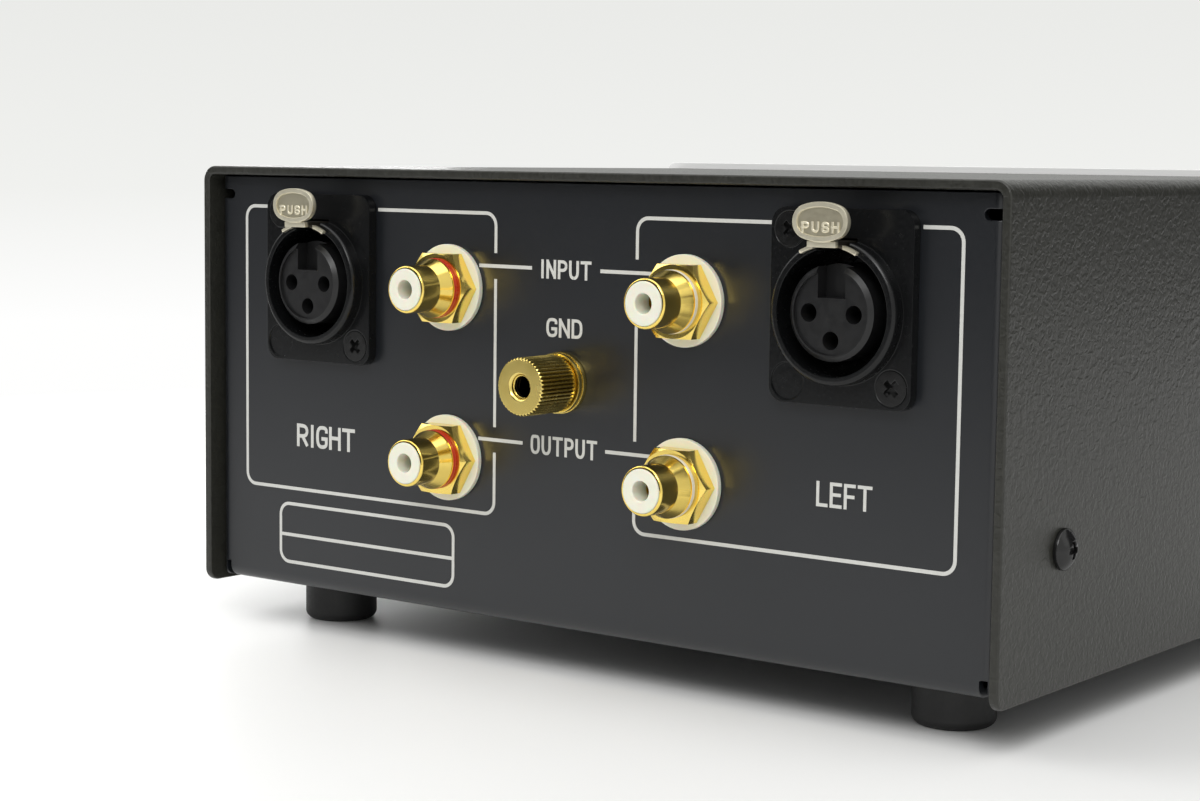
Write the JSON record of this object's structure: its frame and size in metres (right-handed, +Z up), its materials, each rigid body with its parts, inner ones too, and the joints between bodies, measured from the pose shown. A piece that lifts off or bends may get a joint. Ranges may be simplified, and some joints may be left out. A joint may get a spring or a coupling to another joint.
{
  "type": "moving coil step-up transformer",
  "caption": "Folded steel audio case with balanced sockets, phono jacks and a ground post behind, a selector knob in front, and shielded transformers inside.",
  "frame": {"origin": "on the floor under the middle of the overall length and width", "axes": "+X to the right when facing the connector panel, -Y out of the connector panel, +Z up"},
  "size_m": [0.1764, 0.1812, 0.0891],
  "materials": {
    "cover_paint": "fine wrinkle paint",
    "panel_paint": "smooth matt paint",
    "front_aluminium": "brushed",
    "black_screw": "black oxide",
    "foot_rubber": "matt",
    "socket_black": "satin black",
    "insert_plastic": "moulded",
    "latch_nickel": "satin nickel",
    "spring_steel": "bare",
    "gold_plate": "polished gold plate",
    "white_plastic": "moulded",
    "red_plastic": "moulded",
    "tinned_tag": "tinned",
    "switch_steel": "zinc plate",
    "wafer_board": "laminate",
    "can_alloy": "annealed",
    "core_steel": "bare laminations",
    "coil_copper": "enamelled wire",
    "lead_jacket": "extruded"
  },
  "bodies": {
    "case": {"cover": "cover_paint", "chassis": "panel_paint", "front_panel": "front_aluminium", "cover_screws": "black_screw", "front_panel_screws": "black_screw", "foot_rear_left": "foot_rubber", "foot_rear_right": "foot_rubber", "foot_front_left": "foot_rubber", "foot_front_right": "foot_rubber", "foot_screws": "black_screw", "left_socket_housing": "socket_black", "left_socket_insert": "insert_plastic", "left_socket_spring": "spring_steel", "right_socket_housing": "socket_black", "right_socket_insert": "insert_plastic", "right_socket_spring": "spring_steel", "socket_retainers": "insert_plastic", "socket_contacts": "gold_plate", "socket_latch_pins": "spring_steel", "socket_screws": "black_screw", "left_input_jack": "gold_plate", "right_input_jack": "gold_plate", "left_output_jack": "gold_plate", "right_output_jack": "gold_plate", "jack_insulators": "white_plastic", "jack_contacts": "gold_plate", "jack_washers": "white_plastic", "jack_inner_washers": "white_plastic", "jack_nuts": "gold_plate", "jack_lugs": "tinned_tag", "left_jack_rings": "white_plastic", "right_jack_rings": "red_plastic", "ground_stud": "gold_plate", "ground_lug": "tinned_tag", "ground_nut": "gold_plate", "selector_frame": "switch_steel", "selector_nut": "switch_steel", "selector_wafer": "wafer_board", "left_transformer_can": "can_alloy", "left_transformer_lid": "wafer_board", "left_core": "core_steel", "left_bobbin": "white_plastic", "left_windings": "coil_copper", "right_transformer_can": "can_alloy", "right_transformer_lid": "wafer_board", "right_core": "core_steel", "right_bobbin": "white_plastic", "right_windings": "coil_copper", "transformer_terminals": "gold_plate", "transformer_screws": "black_screw", "transformer_nuts": "switch_steel", "left_leads": "lead_jacket", "right_leads": "lead_jacket"},
    "left_latch": {"left_socket_latch": "latch_nickel"},
    "right_latch": {"right_socket_latch": "latch_nickel"},
    "clamp_washer": {"ground_clamp_washer": "gold_plate"},
    "thumb_nut": {"ground_thumb_nut": "gold_plate"},
    "knob": {"selector_knob": "front_aluminium", "knob_set_screw": "black_screw", "selector_shaft": "switch_steel"}
  },
  "joints": [
    {"name": "left_latch_press", "type": "hinge", "parent": "case", "child": "left_latch", "pos_m": [0.0564, -0.0759, 0.0771], "axis": [1, 0, 0], "range_deg": [0, 7], "stiffness_Nm_per_rad": 0.05, "springref_deg": -5.73, "deforming": ["left_socket_spring"]},
    {"name": "right_latch_press", "type": "hinge", "parent": "case", "child": "right_latch", "pos_m": [-0.0564, -0.0759, 0.0771], "axis": [1, 0, 0], "range_deg": [0, 7], "stiffness_Nm_per_rad": 0.05, "springref_deg": -5.73, "deforming": ["right_socket_spring"]},
    {"name": "clamp_slide", "type": "slide", "parent": "case", "child": "clamp_washer", "axis": [0, -1, 0], "range_m": [0, 0.0028]},
    {"name": "thumb_nut_turn", "type": "hinge", "parent": "clamp_washer", "child": "thumb_nut", "pos_m": [0, -0.08465, 0.0518], "axis": [0, -1, 0], "range_deg": [0, 1440]},
    {"name": "selector_turn", "type": "hinge", "parent": "case", "child": "knob", "pos_m": [0, 0.07685, 0.0467], "axis": [0, 1, 0], "range_deg": [-30, 30]}
  ],
  "couplings": [
    {"joint": "thumb_nut_turn", "follows": "clamp_slide", "rad_per_m": 8976}
  ]
}
